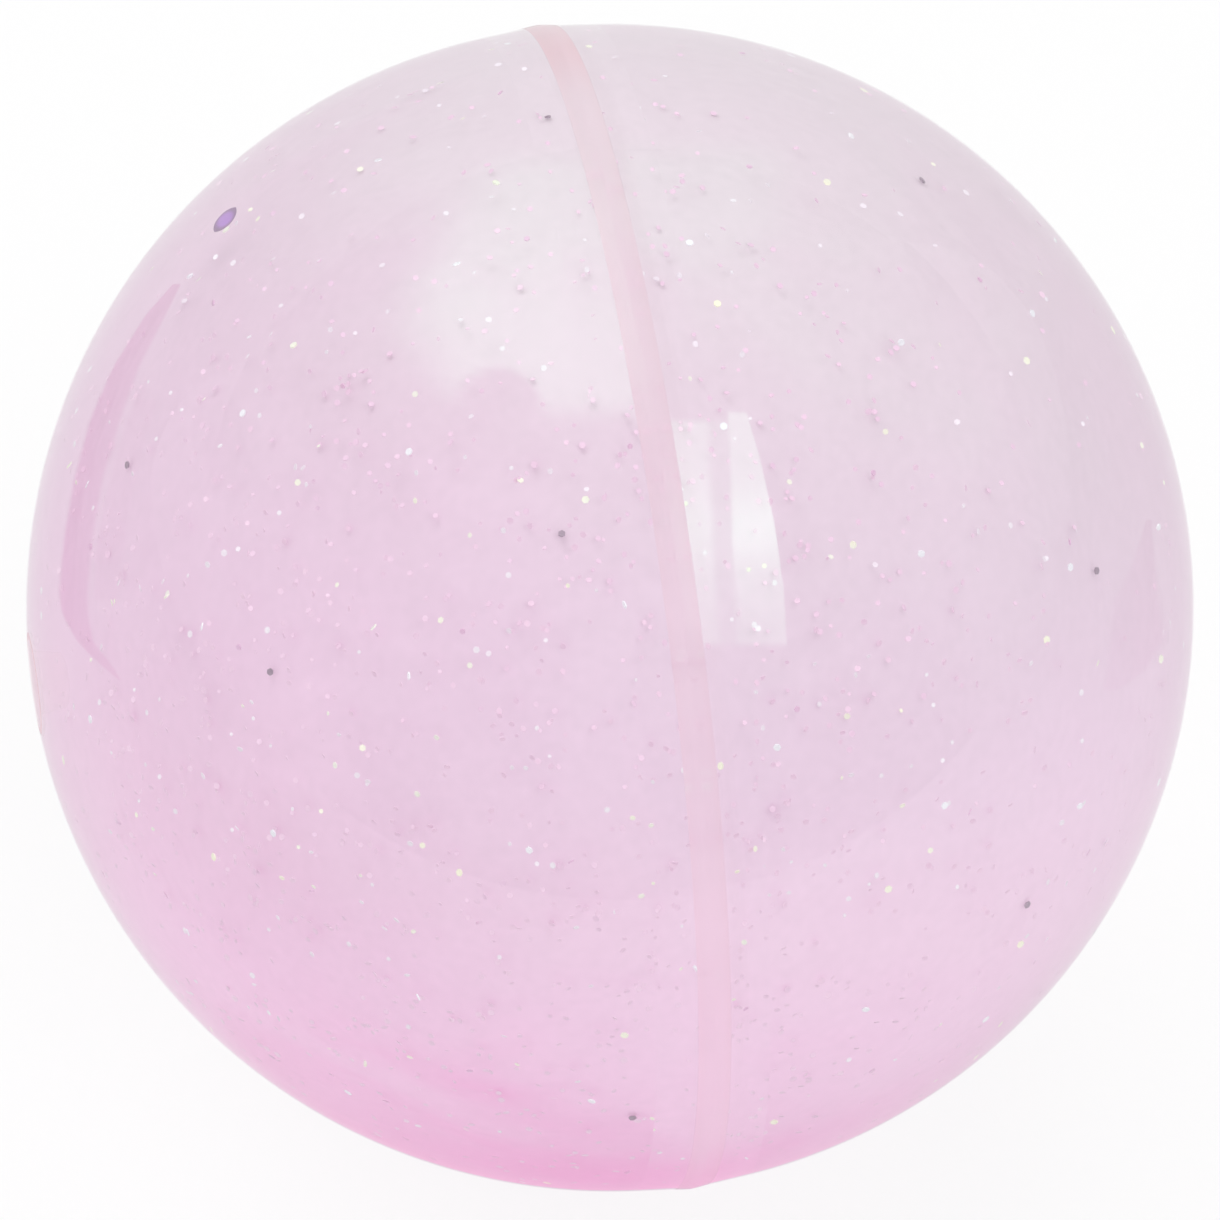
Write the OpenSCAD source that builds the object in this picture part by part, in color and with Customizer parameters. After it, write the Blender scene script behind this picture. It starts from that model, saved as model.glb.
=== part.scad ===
// Glitter bouncy ball filled with tinted liquid.
// The origin is the centre of the ball, the seam lies in the plane X = 0
// and the filler plug is at the pole on -X. Lengths are in millimetres.

/* [Ball] */
// Outside diameter of the ball
ball_diameter = 65; // [50:0.5:100]
// Thickness of the clear rubber wall
wall_thickness = 7; // [6:0.25:10]
// Room between the wall and the body of liquid that swirls inside it
liquid_clearance = 0.3; // [0.2:0.05:0.6]

/* [Seam] */
// Width of the weld band where it shows on the outside
band_width = 1.8; // [1.2:0.1:3]
// Depth of the chamfered groove that the weld band fills
band_depth = 0.9; // [0.5:0.1:1.5]
// Distance from the seam plane at which the wall starts to swell towards the weld
swell_width = 2.5; // [1.6:0.1:4]
// Height of that swell at the seam plane
swell_rise = 0.14; // [0.1:0.02:0.3]
// Height of the weld band's crown above the swell
band_crown = 0.1; // [0.05:0.05:0.3]
// Thickness of the weld between the two rims
weld_film = 0.3; // [0.2:0.05:0.5]

/* [Centring rib] */
// Land left on the rim between the cavity and the rib
rib_inset = 1.8; // [1:0.1:2.4]
// Width of the rib at its root
rib_width = 2.4; // [1.4:0.1:3]
// Height of the rib above the left rim
rib_height = 1.8; // [0.8:0.1:3]
// Amount by which each flank of the rib leans in
rib_draft = 0.3; // [0.1:0.05:0.6]

/* [Filler plug] */
// Diameter of the plug's head
head_diameter = 5.6; // [4.6:0.1:8]
// Thickness of the plug's head, from the ball's surface to its seat
head_thickness = 1.4; // [0.8:0.1:2.5]
// Distance of the plug's face below the ball's surface
head_setback = 0.15; // [0.05:0.05:0.4]
// Diameter of the shank under the head
shank_diameter = 3.6; // [2.6:0.1:4.4]
// Diameter of the shank at the cavity
shank_tip_diameter = 2.6; // [1.6:0.1:3.4]
// Glue gap between the plug and its hole
plug_fit = 0.05; // [0.02:0.01:0.15]

/* [Gate mark] */
// Diameter of the dimple round the moulding gate of the right half
gate_diameter = 3.4; // [2.4:0.1:6]
// Depth of the dimple at its middle
gate_depth = 0.4; // [0.2:0.05:0.8]
// Diameter of the gate stub in the dimple
stub_diameter = 1.2; // [0.6:0.1:2]
// Height of the gate stub
stub_height = 0.2; // [0.1:0.05:0.35]

/* [Glitter] */
// Thickness of every flake
flake_thickness = 0.08; // [0.05:0.01:0.12]
// Depth of the outermost layer of glitter below the liquid's surface
first_depth = 1; // [1:0.05:1.2]
// Distance between the layers that the kinds of glitter hang in
layer_pitch = 0.65; // [0.65:0.05:1]
// Thickness of one layer, in which its flakes lie higher or lower
layer_thickness = 0.2; // [0.05:0.05:0.2]
// Largest lean of a flake out of its layer
flake_lean = 70; // [0:1:90]
// Width of a pearl flake across its corners
pearl_width = 0.4; // [0.25:0.05:0.5]
// Number of pearl flakes
pearl_count = 60; // [12:1:100]
// Width of a gold flake across its corners
gold_width = 0.4; // [0.25:0.05:0.5]
// Number of gold flakes
gold_count = 40; // [12:1:100]
// Width of a magenta flake across its corners
magenta_width = 0.3; // [0.2:0.05:0.5]
// Number of magenta flakes
magenta_count = 40; // [12:1:100]
// Width of a dark flake across its corners
dark_width = 0.36; // [0.2:0.02:0.5]

/* [Violet flake] */
// Length of the one large leaf-shaped flake
leaf_length = 1.5; // [1.2:0.1:2.4]
// Width of the leaf-shaped flake
leaf_width = 1.1; // [0.6:0.05:1.15]
// Depth of the leaf-shaped flake in the liquid
leaf_depth = 0.42; // [0.4:0.01:0.5]
// Turn of the leaf-shaped flake's place about the upright axis
leaf_turn = 137.5; // [0:0.5:360]
// Tilt of the leaf-shaped flake's place away from the top of the ball
leaf_tilt = 56; // [0:1:180]
// Turn of the leaf-shaped flake about its own middle
leaf_spin = 158; // [0:1:180]
// Lean of the leaf-shaped flake about its length
leaf_lean = 35; // [0:1:40]

/* [Milky core] */
// Room between the deepest layer of glitter and the milky core
core_room = 0.25; // [0.2:0.05:1]

/* [Hidden] */

// Smoothness of the round faces
$fn = 96;
// Sides of a cut flake
flake_sides = 6;
// Length by which cutting outlines run past what they cut
overrun = 1;
// Angle from one flake to the next that spreads a layer evenly over the ball
golden_angle = 180 * (3 - sqrt(5));
// Steps of the even sequences that set the depth and the lean of each flake
depth_step_share = 0.754878;
lean_step_share = 0.569840;
// Layer of each kind of glitter, counted in from the liquid's surface
pearl_layer = 0;
gold_layer = 1;
magenta_layer = 2;
dark_layer = 3;
// Turn of the first flake of each kind
pearl_turn = 20;
gold_turn = 339;
magenta_turn = 130;
// Turn of each dark flake's place about the upright axis, and its tilt from the top of the ball
dark_turns = [208, 249, 92, 317, 348, 343, 34, 76, 131, 165, 263, 14];
dark_tilts = [65, 33, 32, 106, 134, 76, 55, 89, 113, 71, 123, 152];
// Lean of every dark flake, which lie nearly flat in their layer
dark_lean = 20;

ball_radius = ball_diameter / 2;
cavity_radius = ball_radius - wall_thickness;
liquid_radius = cavity_radius - liquid_clearance;
dark_radius = liquid_radius - first_depth - dark_layer * layer_pitch;
core_radius = dark_radius - core_room;
reach = ball_radius + overrun;

// The swell is a straight flank from its foot on the ball to its top in the seam plane
swell_foot = sqrt(ball_radius * ball_radius - swell_width * swell_width);
swell_top = ball_radius + swell_rise;
flank_slope = (swell_top - swell_foot) / swell_width;

// The weld band meets the flanks this far from the axis of the halves
half_band = band_width / 2;
half_film = weld_film / 2;
band_edge_radius = swell_top - flank_slope * half_band;
band_root_radius = ball_radius - band_depth;
band_rise = swell_top + band_crown - band_edge_radius;
crown_radius = (band_rise * band_rise + half_band * half_band) / (2 * band_rise);

rib_inner_radius = cavity_radius + rib_inset;
rib_outer_radius = rib_inner_radius + rib_width;

head_seat = ball_radius - head_thickness;
gate_floor = ball_radius - gate_depth;

// Radius of the two arcs that bound the leaf-shaped flake
leaf_arc_radius = (leaf_length * leaf_length + leaf_width * leaf_width) / (4 * leaf_width);

function part_of_one(x) = x - floor(x);

// Profiles lie in the first and fourth quarters of the X-Y plane: X is the distance from the axis
// of the halves and Y is the place along it. Turning a profile puts that axis on +X of the ball.
module turned() {
    rotate([0, 90, 0])
        rotate_extrude()
            children();
}

// Rim of a half from the outside to the cavity, at one side of the seam. The rib's root, flanks and
// tip are moved out by the flank room, and the whole line is moved along the axis by the shift.
function rim_line(edge, shift, flank_room) = [
    [reach, edge],
    [band_edge_radius, edge],
    [band_root_radius, shift],
    [rib_outer_radius + flank_room, shift],
    [rib_outer_radius - rib_draft + flank_room, shift + rib_height],
    [rib_inner_radius + rib_draft - flank_room, shift + rib_height],
    [rib_inner_radius - flank_room, shift],
    [0, shift]
];

left_rim = rim_line(-half_band, -half_film, 0);
right_rim = rim_line(half_band, half_film, weld_film);

function turned_round(line) = [for (i = [len(line) - 1 : -1 : 0]) line[i]];

module wall_profile() {
    difference() {
        union() {
            circle(r = ball_radius);
            polygon([
                [cavity_radius, -swell_width],
                [swell_foot, -swell_width],
                [swell_top, 0],
                [swell_foot, swell_width],
                [cavity_radius, swell_width]
            ]);
        }
        circle(r = cavity_radius);
    }
}

// Outline of the plug and its hole, grown by the fit for the hole
module plug_outline(fit) {
    polygon([
        [0, -reach],
        [head_diameter / 2 + fit, -reach],
        [head_diameter / 2 + fit, -head_seat],
        [shank_diameter / 2 + fit, -head_seat],
        [shank_tip_diameter / 2 + fit, -cavity_radius],
        [shank_tip_diameter / 2 + fit, -cavity_radius + overrun],
        [0, -cavity_radius + overrun]
    ]);
}

module left_shell() {
    color([0.95, 0.84, 0.91, 0.45])
        turned()
            difference() {
                intersection() {
                    wall_profile();
                    polygon(concat(left_rim, [[0, -reach], [reach, -reach]]));
                }
                plug_outline(plug_fit);
            }
}

module right_shell() {
    color([0.95, 0.85, 0.92, 0.45])
        turned()
            difference() {
                intersection() {
                    wall_profile();
                    polygon(concat(right_rim, [[0, reach], [reach, reach]]));
                }
                polygon([
                    [0, gate_floor + stub_height],
                    [stub_diameter / 2, gate_floor + stub_height],
                    [stub_diameter / 2, gate_floor],
                    [gate_diameter / 2, gate_floor + gate_depth],
                    [gate_diameter / 2, reach],
                    [0, reach]
                ]);
            }
}

module seam_weld() {
    color([0.93, 0.70, 0.74])
        turned()
            difference() {
                intersection() {
                    polygon(concat(left_rim, turned_round(right_rim)));
                    union() {
                        circle(r = band_root_radius);
                        translate([swell_top + band_crown - crown_radius, 0])
                            circle(r = crown_radius);
                    }
                }
                circle(r = cavity_radius);
            }
}

module filler_plug() {
    color([0.92, 0.62, 0.70])
        turned()
            difference() {
                intersection() {
                    plug_outline(0);
                    circle(r = ball_radius - head_setback);
                }
                circle(r = cavity_radius);
            }
}

// One flat flake, lying in its layer
module flake(width) {
    cylinder(d = width, h = flake_thickness, center = true, $fn = flake_sides);
}

// A layer of flakes spread evenly over the liquid, each with its own depth and lean
module flake_layer(layer, count, width, first_turn) {
    for (i = [0 : count - 1]) {
        tilt = acos(1 - (2 * i + 1) / count);
        depth = first_depth + layer * layer_pitch + layer_thickness * part_of_one(i * depth_step_share);
        lean = flake_lean * part_of_one(i * lean_step_share);
        rotate([0, tilt, first_turn + i * golden_angle])
            translate([0, 0, liquid_radius - depth])
                rotate([lean, 0, first_turn])
                    flake(width);
    }
}

module pearl_glitter() {
    color([0.97, 0.97, 1.0])
        flake_layer(pearl_layer, pearl_count, pearl_width, pearl_turn);
}

module gold_glitter() {
    color([0.90, 0.88, 0.45])
        flake_layer(gold_layer, gold_count, gold_width, gold_turn);
}

module magenta_glitter() {
    color([0.78, 0.25, 0.60])
        flake_layer(magenta_layer, magenta_count, magenta_width, magenta_turn);
}

module dark_glitter() {
    color([0.25, 0.22, 0.28])
        for (i = [0 : len(dark_turns) - 1])
            rotate([0, dark_tilts[i], dark_turns[i]])
                translate([0, 0, dark_radius])
                    rotate([dark_lean, 0, dark_turns[i]])
                        flake(dark_width);
}

module violet_flake() {
    color([0.55, 0.35, 0.78])
        rotate([0, leaf_tilt, leaf_turn])
            translate([0, 0, liquid_radius - leaf_depth])
                rotate(leaf_spin)
                    rotate([0, leaf_lean, 0])
                        linear_extrude(flake_thickness, center = true)
                            intersection() {
                                translate([leaf_arc_radius - leaf_width / 2, 0])
                                    circle(r = leaf_arc_radius);
                                translate([leaf_width / 2 - leaf_arc_radius, 0])
                                    circle(r = leaf_arc_radius);
                            }
}

// The milky ball that floats in the clear liquid, in the middle of the glitter
module milky_core() {
    color([0.92, 0.72, 0.86])
        sphere(r = core_radius);
}

// The core and the flakes displace the liquid, so each sits in a pocket of its own size
module tinted_liquid() {
    color([0.95, 0.82, 0.91, 0.4])
        difference() {
            sphere(r = liquid_radius);
            milky_core();
            pearl_glitter();
            gold_glitter();
            magenta_glitter();
            dark_glitter();
            violet_flake();
        }
}

left_shell();
right_shell();
seam_weld();
filler_plug();
tinted_liquid();
milky_core();
pearl_glitter();
gold_glitter();
magenta_glitter();
dark_glitter();
violet_flake();
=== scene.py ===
import math
import random

import bmesh
import bpy
from mathutils import Matrix, Vector, noise


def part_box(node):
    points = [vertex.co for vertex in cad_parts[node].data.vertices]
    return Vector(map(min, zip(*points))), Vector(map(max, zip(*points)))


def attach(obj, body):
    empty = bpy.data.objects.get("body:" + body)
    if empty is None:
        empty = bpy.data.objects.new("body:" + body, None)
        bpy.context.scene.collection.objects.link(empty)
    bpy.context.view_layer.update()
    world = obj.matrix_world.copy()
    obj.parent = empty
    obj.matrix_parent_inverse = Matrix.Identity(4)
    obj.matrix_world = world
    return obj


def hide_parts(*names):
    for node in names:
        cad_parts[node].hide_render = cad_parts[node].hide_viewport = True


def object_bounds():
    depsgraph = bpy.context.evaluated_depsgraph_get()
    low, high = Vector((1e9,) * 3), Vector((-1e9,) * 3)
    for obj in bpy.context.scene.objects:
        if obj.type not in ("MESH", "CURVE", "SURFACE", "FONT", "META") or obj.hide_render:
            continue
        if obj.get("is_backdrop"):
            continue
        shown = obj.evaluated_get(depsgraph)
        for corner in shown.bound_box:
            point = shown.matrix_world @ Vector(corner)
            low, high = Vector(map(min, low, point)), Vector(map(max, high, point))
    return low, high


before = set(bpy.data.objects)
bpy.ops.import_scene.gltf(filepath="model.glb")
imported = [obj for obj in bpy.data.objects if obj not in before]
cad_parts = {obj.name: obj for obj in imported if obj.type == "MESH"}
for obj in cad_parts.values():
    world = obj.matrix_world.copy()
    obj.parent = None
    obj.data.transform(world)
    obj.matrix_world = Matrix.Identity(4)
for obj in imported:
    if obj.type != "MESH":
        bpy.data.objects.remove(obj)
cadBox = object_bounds()

scene = bpy.context.scene
scene.view_settings.view_transform = "Standard"

# Sizes in metres; the radii are read from the solids
mm = 0.001
liquidLow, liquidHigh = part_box("tinted_liquid")
liquidRadius = (liquidHigh.z - liquidLow.z) / 2
coreLow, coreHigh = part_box("milky_core")
coreRadius = (coreHigh.z - coreLow.z) / 2
wallThickness = 7.0 * mm
liquidRoom = 0.3 * mm            # the liquid's clearance in the cavity
cavityRadius = liquidRadius + liquidRoom
ballRadius = cavityRadius + wallThickness

# Camera

cameraSetup = {
    "azimuth": -10.0,        # degrees, 0 looks along +Y
    "elevation": 48.3,
    "distance": 20 * ballRadius,
    "framePixels": 1220,
    "ballPixels": 584,       # radius of the ball in the frame
    "centrePixel": (610.0, 607.5),
    "sensor": 36.0,
}


def cameraAxes(azimuth, elevation):
    turn, lift = math.radians(azimuth), math.radians(elevation)
    level = math.cos(lift)
    back = Vector((math.sin(turn) * level, -math.cos(turn) * level, math.sin(lift)))
    right = Vector((math.cos(turn), math.sin(turn), 0))
    return right, back.cross(right), back


viewRight, viewUp, viewBack = cameraAxes(cameraSetup["azimuth"], cameraSetup["elevation"])


def addCamera(setup):
    data = bpy.data.cameras.new("camera")
    camera = bpy.data.objects.new("camera", data)
    scene.collection.objects.link(camera)
    half = setup["framePixels"] / 2
    rimSlope = math.tan(math.asin(ballRadius / setup["distance"]))
    data.sensor_width = setup["sensor"]
    data.lens = setup["sensor"] / 2 / (rimSlope * half / setup["ballPixels"])
    data.clip_start = ballRadius
    metresPerPixel = ballRadius / setup["ballPixels"]
    column, row = setup["centrePixel"]
    aim = viewRight * (half - column) * metresPerPixel + viewUp * (row - half) * metresPerPixel
    turned = Matrix((viewRight, viewUp, viewBack)).transposed().to_4x4()
    camera.matrix_world = Matrix.Translation(aim + viewBack * setup["distance"]) @ turned
    scene.camera = camera
    return camera


addCamera(cameraSetup)
print("camera placed")

# Meshes

crispAngle = math.radians(25)    # edges sharper than this are not shaded round


def smoothStep(low, high, value):
    share = min(1.0, max(0.0, (value - low) / (high - low)))
    return share * share * (3 - 2 * share)


# Volume enclosed by the faces, negative when they look inwards
def signedVolume(vertices, faces):
    total = 0.0
    for face in faces:
        first = Vector(vertices[face[0]])
        for second, third in zip(face[1:], face[2:]):
            total += first.dot(Vector(vertices[second]).cross(Vector(vertices[third])))
    return total / 6


def newPiece(name, vertices, faces, materials, faceSlots=None, smooth=True, closed=True):
    if closed and signedVolume(vertices, faces) < 0:
        faces = [face[::-1] for face in faces]
    mesh = bpy.data.meshes.new(name)
    mesh.from_pydata(vertices, [], faces)
    for material in materials:
        mesh.materials.append(material)
    if faceSlots:
        mesh.polygons.foreach_set("material_index", faceSlots)
    if smooth:
        mesh.polygons.foreach_set("use_smooth", [True] * len(mesh.polygons))
        mesh.set_sharp_from_angle(angle=crispAngle)
    mesh.update()
    piece = bpy.data.objects.new(name, mesh)
    scene.collection.objects.link(piece)
    return piece


# Turns a closed profile of (place along X, distance from X, material slot) round the X axis.
# A point on the axis becomes one vertex. shift moves a point, given its angle round the axis.
def turnedProfile(profile, segments, shift=None):
    vertices, rings, faces, slots = [], [], [], []
    for along, out, slot in profile:
        ring = []
        for step in range(1 if out <= 0 else segments):
            angle = 2 * math.pi * step / segments
            x, rho = shift(along, out, angle) if shift else (along, out)
            ring.append(len(vertices))
            vertices.append((x, rho * math.cos(angle), rho * math.sin(angle)))
        rings.append(ring)
    for index, ring in enumerate(rings):
        after = rings[(index + 1) % len(rings)]
        if len(ring) == 1 and len(after) == 1:
            continue
        for step in range(segments):
            following = (step + 1) % segments
            corners = [ring[step % len(ring)], ring[following % len(ring)],
                       after[following % len(after)], after[step % len(after)]]
            faces.append(list(dict.fromkeys(corners)))
            slots.append(profile[index][2])
    return vertices, faces, slots


# Materials


def newMaterial(name):
    material = bpy.data.materials.new(name)
    material.use_nodes = True
    nodes, links = material.node_tree.nodes, material.node_tree.links
    return material, nodes, links, nodes["Principled BSDF"], nodes["Material Output"]


def addNode(nodes, kind, **settings):
    node = nodes.new(kind)
    for key, value in settings.items():
        setattr(node, key, value)
    return node


def setInputs(node, values):
    for name, value in values.items():
        node.inputs[name].default_value = value


def setRamp(ramp, stops):
    while len(ramp.elements) < len(stops):
        ramp.elements.new(0.5)
    for element, (place, colour) in zip(ramp.elements, stops):
        element.position = place
        element.color = (*colour, 1)


# Gives a socket a plain value or the output of another node
def feed(links, socket, value):
    if isinstance(value, bpy.types.NodeSocket):
        links.new(value, socket)
    else:
        socket.default_value = value


def noiseAt(nodes, links, place, scale, **settings):
    texture = addNode(nodes, "ShaderNodeTexNoise")
    links.new(place, texture.inputs["Vector"])
    feed(links, texture.inputs["Scale"], scale)
    for name, value in settings.items():
        texture.inputs[name].default_value = value
    return texture.outputs[0]


def mapped(nodes, links, value, fromRange=(0, 1), toRange=(0, 1), curve="LINEAR"):
    node = addNode(nodes, "ShaderNodeMapRange", interpolation_type=curve)
    links.new(value, node.inputs["Value"])
    node.inputs["From Min"].default_value, node.inputs["From Max"].default_value = fromRange
    node.inputs["To Min"].default_value, node.inputs["To Max"].default_value = toRange
    return node.outputs[0]


def mixedColour(nodes, links, share, first, second, blend="MIX"):
    mix = addNode(nodes, "ShaderNodeMix", data_type="RGBA", blend_type=blend)
    for socket, value in zip((0, 6, 7), (share, first, second)):     # its sockets for colours
        feed(links, mix.inputs[socket], value)
    return mix.outputs[2]


def mixedShader(nodes, links, share, first, second):
    mix = addNode(nodes, "ShaderNodeMixShader")
    for socket, value in zip((0, 1, 2), (share, first.outputs[0], second.outputs[0])):
        links.new(value, mix.inputs[socket])
    return mix


# Lets lamps through clear rubber: rays to a lamp meet a pale tint in place of the glass
def letLampsThrough(nodes, links, glass, output, tint):
    path = addNode(nodes, "ShaderNodeLightPath")
    clear = addNode(nodes, "ShaderNodeBsdfTransparent")
    clear.inputs["Color"].default_value = (*tint, 1)
    mix = mixedShader(nodes, links, path.outputs["Is Shadow Ray"], glass, clear)
    links.new(mix.outputs[0], output.inputs["Surface"])


# Fine unevenness of moulded rubber: a slow swell and a faint grain, out as a height
def rubberSkinGroup():
    group = bpy.data.node_groups.new("rubberSkin", "ShaderNodeTree")
    for name, value in (("Swell Scale", 60.0), ("Grain Scale", 900.0), ("Grain Share", 0.1)):
        socket = group.interface.new_socket(name, in_out="INPUT", socket_type="NodeSocketFloat")
        socket.default_value = value
    group.interface.new_socket("Height", in_out="OUTPUT", socket_type="NodeSocketFloat")
    nodes, links = group.nodes, group.links
    entry = addNode(nodes, "NodeGroupInput")
    leave = addNode(nodes, "NodeGroupOutput")
    place = addNode(nodes, "ShaderNodeTexCoord").outputs["Object"]
    swell = noiseAt(nodes, links, place, entry.outputs["Swell Scale"])
    grain = noiseAt(nodes, links, place, entry.outputs["Grain Scale"])
    mix = addNode(nodes, "ShaderNodeMix", data_type="FLOAT")
    for socket, value in zip((0, 2, 3), (entry.outputs["Grain Share"], swell, grain)):
        links.new(value, mix.inputs[socket])
    links.new(mix.outputs[0], leave.inputs["Height"])
    return group


rubberSkin = rubberSkinGroup()


def addSkin(nodes, links, rubber, swellScale, grainScale, grainShare, strength, depth):
    skin = addNode(nodes, "ShaderNodeGroup", node_tree=rubberSkin)
    setInputs(skin, {
        "Swell Scale": swellScale,
        "Grain Scale": grainScale,
        "Grain Share": grainShare,
    })
    bump = addNode(nodes, "ShaderNodeBump")
    setInputs(bump, {"Strength": strength, "Distance": depth})
    links.new(skin.outputs["Height"], bump.inputs["Height"])
    links.new(bump.outputs["Normal"], rubber.inputs["Normal"])


shellLook = {
    "colour": (0.985, 0.955, 0.975),
    "lampTint": (0.97, 0.94, 0.965),
    "roughness": 0.03,
    "ior": 1.5,
    "skin": {
        "swellScale": 45, "grainScale": 900, "grainShare": 0.02,
        "strength": 0.02, "depth": 0.5 * mm,
    },
    # the swell towards the weld, the plug and the weld bend light more, so that none is trapped
    # at the outline, and the swell is dulled to mirror as the rest does
    "swellIor": 1.65,
    "swellSheen": 0.65,
    "weldIor": 1.85,
    "gateColour": (0.92, 0.70, 0.77),
    "gateRoughness": 0.35,   # the gate was cut off there, which leaves the rubber matt
}


def clearRubber(name, colour, ior, sheen=1.0, roughness=shellLook["roughness"]):
    material, nodes, links, glass, output = newMaterial(name)
    setInputs(glass, {
        "Base Color": (*colour, 1),
        "Specular Tint": (sheen, sheen, sheen, 1),
        "Transmission Weight": 1,
        "Roughness": roughness,
        "IOR": ior,
    })
    addSkin(nodes, links, glass, **shellLook["skin"])
    letLampsThrough(nodes, links, glass, output, shellLook["lampTint"])
    return material


# The liquid wets the inside of the wall and bends light as the rubber does, so that face
# bends nothing
def wetFace():
    material, nodes, links, glass, output = newMaterial("wetFace")
    setInputs(glass, {
        "Base Color": (1, 1, 1, 1),
        "Transmission Weight": 1,
        "Roughness": 0,
        "IOR": 1,
    })
    letLampsThrough(nodes, links, glass, output, (1, 1, 1))
    return material


clearRubberMat = clearRubber("clearRubber", shellLook["colour"], shellLook["ior"])
swellRubberMat = clearRubber(
    "swellRubber", shellLook["colour"], shellLook["swellIor"], shellLook["swellSheen"])
gateRubberMat = clearRubber(
    "gateRubber", shellLook["gateColour"], shellLook["swellIor"],
    roughness=shellLook["gateRoughness"])
wetFaceMat = wetFace()

# Half shells, with the sizes of the solids

clearSlot, wetSlot, swellSlot, gateSlot = range(4)
shellLooks = [clearRubberMat, wetFaceMat, swellRubberMat, gateRubberMat]
shellShape = {
    "segments": 256,
    "outerSteps": 160,
    "innerSteps": 48,
    "ridgeRise": 0.14 * mm,      # swell of both halves towards the weld
    "ridgeReach": 3.2 * mm,
    "bandHalf": 0.9 * mm,
    "bandDepth": 0.9 * mm,
    "filmHalf": 0.15 * mm,
    "ribInset": 1.8 * mm,
    "ribWidth": 2.4 * mm,
    "ribHeight": 1.8 * mm,
    "ribDraft": 0.3 * mm,
    "headRadius": 2.8 * mm,
    "headThickness": 1.4 * mm,
    "shankRadius": 1.8 * mm,
    "tipRadius": 1.3 * mm,
    "plugFit": 0.05 * mm,
    "gateRadius": 1.7 * mm,
    "gateDepth": 0.4 * mm,
    "stubRadius": 0.6 * mm,
    "stubFoot": 0.63 * mm,
    "stubHeight": 0.2 * mm,
}


def swell(along):
    near = max(0.0, 1 - abs(along) / shellShape["ridgeReach"])
    return shellShape["ridgeRise"] * near * near


# Points from the pole to the seam on a half of the given side, closer together towards the seam
def arcPoints(side, radius, fromOut, toAlong, steps, slot, swells=False):
    start, end = math.asin(fromOut / radius), math.acos(toAlong / radius)
    points = []
    for step in range(steps + 1):
        angle = end + (start - end) * (1 - step / steps) ** 2
        size = radius + (swell(radius * math.cos(angle)) if swells else 0)
        points.append((side * size * math.cos(angle), size * math.sin(angle), slot))
    return points


# Rim from the outside to the cavity. lift moves the line along X and room widens the rib's
# outline.
def rimPoints(lift, room, slot):
    s = shellShape
    inner = cavityRadius + s["ribInset"]
    outer = inner + s["ribWidth"]
    return [
        (lift, ballRadius - s["bandDepth"], slot),
        (lift, outer + room, slot),
        (lift + s["ribHeight"], outer - s["ribDraft"] + room, slot),
        (lift + s["ribHeight"], inner + s["ribDraft"] - room, slot),
        (lift, inner - room, slot),
    ]


def halfShell(name, side):
    s = shellShape
    lift = side * s["filmHalf"]
    room = 2 * s["filmHalf"] if side > 0 else 0
    if side < 0:     # the hole for the plug
        seat = -(ballRadius - s["headThickness"])
        innerStart = s["tipRadius"] + s["plugFit"]
        outerStart = s["headRadius"] + s["plugFit"]
        pole = [
            (-cavityRadius, innerStart, wetSlot),
            (seat, s["shankRadius"] + s["plugFit"], wetSlot),
            (seat, outerStart, wetSlot),
        ]
    else:            # the gate mark
        floor = ballRadius - s["gateDepth"]
        innerStart, outerStart = 0, s["gateRadius"]
        pole = [
            (floor + s["stubHeight"], 0, gateSlot),
            (floor + s["stubHeight"], s["stubRadius"], gateSlot),
            (floor, s["stubFoot"], gateSlot),
        ]
    outer = arcPoints(
        side, ballRadius, outerStart, s["bandHalf"], s["outerSteps"], clearSlot, swells=True)
    outer = [
        (along, out, swellSlot if abs(along) < s["ridgeReach"] else clearSlot)
        for along, out, _ in outer
    ]
    outer[-1] = (*outer[-1][:2], wetSlot)
    inner = arcPoints(side, cavityRadius, innerStart, s["filmHalf"], s["innerSteps"], wetSlot)
    profile = pole + outer + rimPoints(lift, room, wetSlot) + inner[::-1]
    if side < 0:
        profile.pop()          # the hole's inner edge is already the first point
    vertices, faces, slots = turnedProfile(profile, s["segments"])
    piece = newPiece(name, vertices, faces, shellLooks, slots)
    piece.visible_diffuse = False
    return piece


leftShell = halfShell("leftShell", -1)
rightShell = halfShell("rightShell", 1)
for piece, node in ((leftShell, "left_shell"), (rightShell, "right_shell")):
    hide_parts(node)
    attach(piece, "shell")
print("half shells turned")

# Weld

weldLook = {
    "middle": (0.995, 0.88, 0.905),
    "edge": (0.985, 0.855, 0.875),
    "edgeFrom": (0.5, 0.8),      # shares of the band's half width between which the edge starts
    "thick": (1.0, 0.775, 0.79),     # further tint where the weld is thickest
    "thickFrom": (0.26, 0.50),   # shares of the radius along +Y between which it thickens
    "sheen": 0.1,                # how strongly the weld mirrors, against clear rubber
    "milk": 0.06,                # share of light that the weld scatters
    "film": (0.90, 0.62, 0.66),
    "filmAlpha": 0.006,
    "filmRoughness": 0.6,
    "lampTint": (0.97, 0.93, 0.95),
    "roughness": 0.2,
    "skin": {
        "swellScale": 400, "grainScale": 3000, "grainShare": 0.5,
        "strength": 0.12, "depth": 0.1 * mm,
    },
    "crown": 0.03 * mm,
    "beadSteps": 18,
    "segments": 360,
    "waver": 0.25,               # share by which the bead's crown and tint come and go
    "tintScale": 120,
    "crownScale": 4,
}
beadSlot, filmSlot = range(2)


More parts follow.
